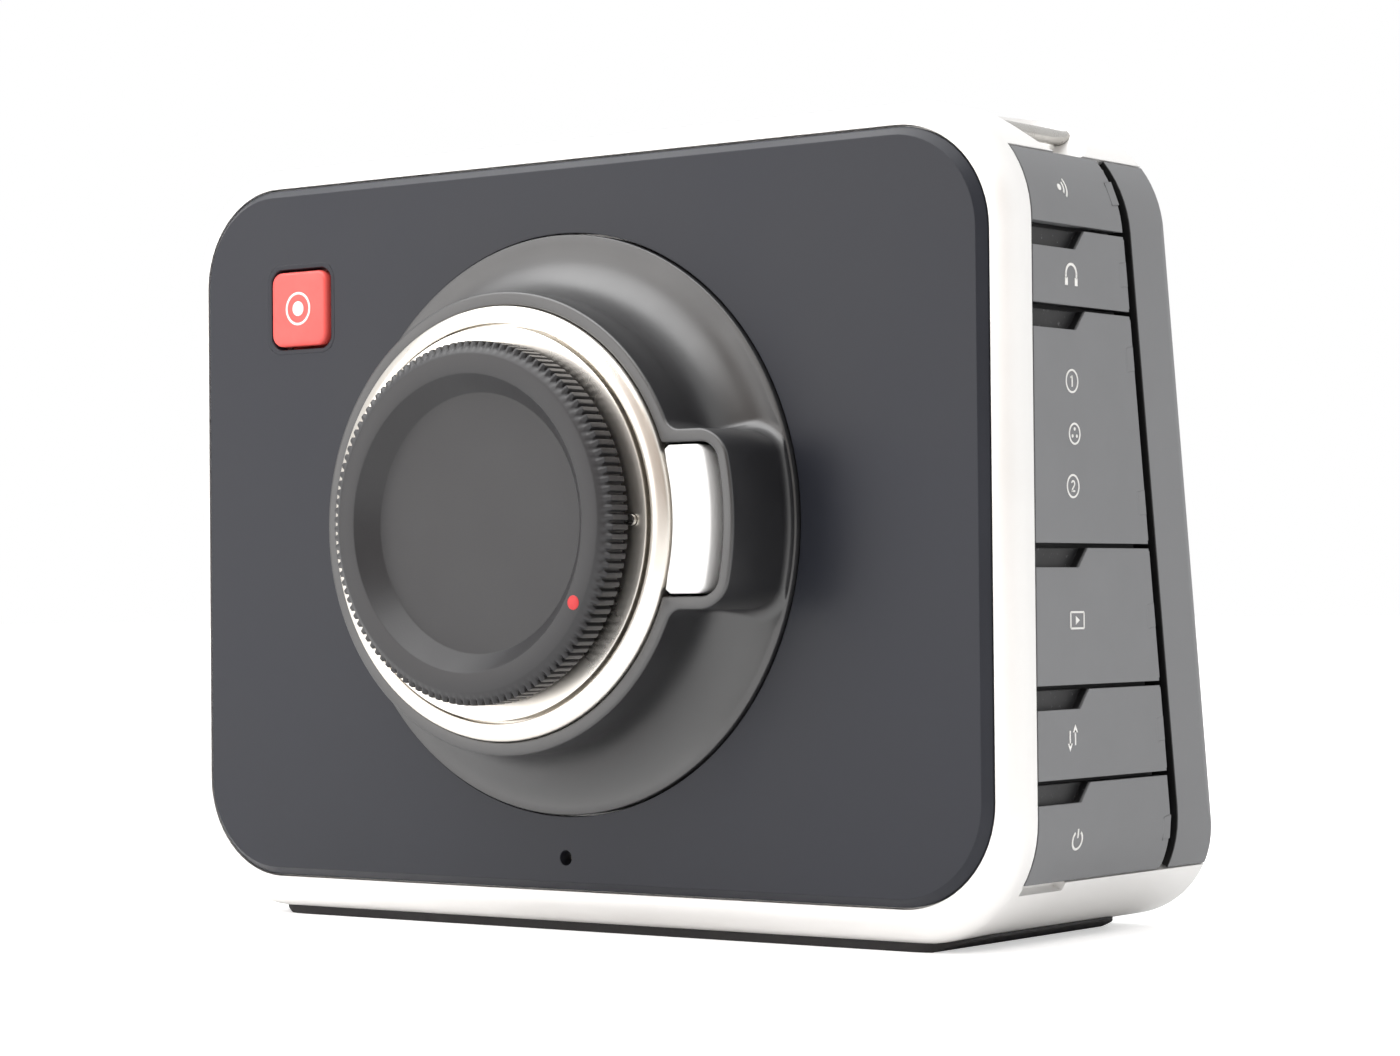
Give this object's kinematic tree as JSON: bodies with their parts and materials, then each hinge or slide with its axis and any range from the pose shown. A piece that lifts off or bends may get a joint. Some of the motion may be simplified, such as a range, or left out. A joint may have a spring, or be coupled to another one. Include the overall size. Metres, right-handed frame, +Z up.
{
  "type": "digital cinema camera",
  "caption": "Box-shaped digital cinema camera with a bayonet lens mount and body cap, hinged port covers, drive door and a tilted rear screen with keys.",
  "frame": {"origin": "mouth of the tripod thread, in the plane of the foot pad", "axes": "+X to the right seen from the front, +Y from the lens to the screen, +Z up; y = 0 is the sensor plane"},
  "size_m": [0.1662, 0.0876, 0.1265],
  "materials": {
    "frame_metal": "bead-blasted, satin",
    "soft_black": "soft-touch",
    "pad_rubber": "matt",
    "steel": "satin",
    "turret_black": "satin black",
    "chrome": "polished",
    "contact_gold": "plated",
    "cap_black": "fine grain",
    "button_white": "satin",
    "button_red": "matt",
    "board_green": "circuit board",
    "sensor_dark": "polished",
    "filter_glass": "polished",
    "inner_black": "matt",
    "cover_rubber": "soft, matt",
    "battery_blue": "wrapped",
    "shell_black": "soft-touch",
    "screen_dark": "polished",
    "display_grey": "smooth",
    "key_grey": "matt"
  },
  "bodies": {
    "camera": {"chassis_frame": "frame_metal", "front_panel": "soft_black", "foot_pad": "pad_rubber", "tripod_insert": "steel", "top_inserts": "steel", "strap_pins": "steel", "mount_turret": "turret_black", "lens_mount_ring": "chrome", "trim_ring": "chrome", "mount_screws": "steel", "contact_block": "contact_gold", "release_spring": "steel", "rec_switch": "board_green", "microphone": "steel", "sensor": "sensor_dark", "sensor_filter": "filter_glass", "sensor_holder": "inner_black", "sensor_board": "board_green", "heat_spreader": "frame_metal", "port_panel": "inner_black", "cover_pins": "steel", "remote_jack": "inner_black", "headphone_jack": "inner_black", "audio_jacks": "inner_black", "video_socket": "steel", "data_socket": "steel", "power_socket": "inner_black", "drive_panel": "cover_rubber", "drive_bay": "steel", "drive_connector": "inner_black", "battery_pack": "battery_blue", "main_board": "board_green", "rear_shell": "shell_black", "screen_glass": "screen_dark", "display_panel": "display_grey", "key_board": "board_green"},
    "remote_cover_body": {"remote_cover": "cover_rubber"},
    "headphone_cover_body": {"headphone_cover": "cover_rubber"},
    "audio_cover_body": {"audio_cover": "cover_rubber"},
    "video_cover_body": {"video_cover": "cover_rubber"},
    "data_cover_body": {"data_cover": "cover_rubber"},
    "power_cover_body": {"power_cover": "cover_rubber"},
    "drive_door_body": {"drive_door": "cover_rubber"},
    "door_latch_body": {"door_latch": "inner_black"},
    "record_button_body": {"rec_button": "button_red"},
    "release_body": {"release_button": "button_white", "lock_pin": "steel"},
    "body_cap_body": {"body_cap": "cap_black"},
    "iris_key_body": {"iris_key": "key_grey"},
    "focus_key_body": {"focus_key": "key_grey"},
    "back_key_body": {"back_key": "key_grey"},
    "play_key_body": {"play_key": "key_grey"},
    "next_key_body": {"next_key": "key_grey"},
    "power_key_body": {"power_key": "key_grey"}
  },
  "joints": [
    {"name": "remote_cover_hinge", "type": "hinge", "parent": "camera", "child": "remote_cover_body", "pos_m": [0.08056, 0.00617, 0.11334], "axis": [-0.2895, -0.1392, 0.947], "range_deg": [0, 95]},
    {"name": "headphone_cover_hinge", "type": "hinge", "parent": "camera", "child": "headphone_cover_body", "pos_m": [0.08195, 0.00783, 0.10155], "axis": [0, -0.1392, 0.9903], "range_deg": [0, 95]},
    {"name": "audio_cover_hinge", "type": "hinge", "parent": "camera", "child": "audio_cover_body", "pos_m": [0.08195, 0.01115, 0.0779], "axis": [0, -0.1392, 0.9903], "range_deg": [0, 95]},
    {"name": "video_cover_hinge", "type": "hinge", "parent": "camera", "child": "video_cover_body", "pos_m": [0.08195, 0.01511, 0.04975], "axis": [0, -0.1392, 0.9903], "range_deg": [0, 95]},
    {"name": "data_cover_hinge", "type": "hinge", "parent": "camera", "child": "data_cover_body", "pos_m": [0.08195, 0.01756, 0.0323], "axis": [0, -0.1392, 0.9903], "range_deg": [0, 95]},
    {"name": "power_cover_hinge", "type": "hinge", "parent": "camera", "child": "power_cover_body", "pos_m": [0.08115, 0.01968, 0.01726], "axis": [0.1549, -0.1392, 0.9781], "range_deg": [0, 95]},
    {"name": "drive_door_hinge", "type": "hinge", "parent": "camera", "child": "drive_door_body", "pos_m": [-0.08195, 0.013, 0.06475], "axis": [0, 0.1392, -0.9903], "range_deg": [0, 95]},
    {"name": "door_latch_slide", "type": "slide", "parent": "drive_door_body", "child": "door_latch_body", "axis": [0, 0, 1], "range_m": [0, 0.003]},
    {"name": "record_button_press", "type": "slide", "parent": "camera", "child": "record_button_body", "axis": [0, 1, 0], "range_m": [0, 0.0008], "stiffness_N_per_m": 800, "springref_m": -0.0004},
    {"name": "lens_release_press", "type": "slide", "parent": "camera", "child": "release_body", "axis": [0, 1, 0], "range_m": [0, 0.0025], "stiffness_N_per_m": 900, "springref_m": -0.001, "deforming": ["release_spring"]},
    {"name": "body_cap_twist", "type": "hinge", "parent": "camera", "child": "body_cap_body", "pos_m": [0, -0.0462, 0.06475], "axis": [0, -1, 0], "range_deg": [0, 60]},
    {"name": "iris_key_press", "type": "slide", "parent": "camera", "child": "iris_key_body", "axis": [0, -0.9903, -0.1392], "range_m": [0, 0.0005], "stiffness_N_per_m": 700, "springref_m": -0.0004},
    {"name": "focus_key_press", "type": "slide", "parent": "camera", "child": "focus_key_body", "axis": [0, -0.9903, -0.1392], "range_m": [0, 0.0005], "stiffness_N_per_m": 700, "springref_m": -0.0004},
    {"name": "back_key_press", "type": "slide", "parent": "camera", "child": "back_key_body", "axis": [0, -0.9903, -0.1392], "range_m": [0, 0.0005], "stiffness_N_per_m": 700, "springref_m": -0.0004},
    {"name": "play_key_press", "type": "slide", "parent": "camera", "child": "play_key_body", "axis": [0, -0.9903, -0.1392], "range_m": [0, 0.0005], "stiffness_N_per_m": 700, "springref_m": -0.0004},
    {"name": "next_key_press", "type": "slide", "parent": "camera", "child": "next_key_body", "axis": [0, -0.9903, -0.1392], "range_m": [0, 0.0005], "stiffness_N_per_m": 700, "springref_m": -0.0004},
    {"name": "power_key_press", "type": "slide", "parent": "camera", "child": "power_key_body", "axis": [0, -0.9903, -0.1392], "range_m": [0, 0.0005], "stiffness_N_per_m": 700, "springref_m": -0.0004}
  ]
}
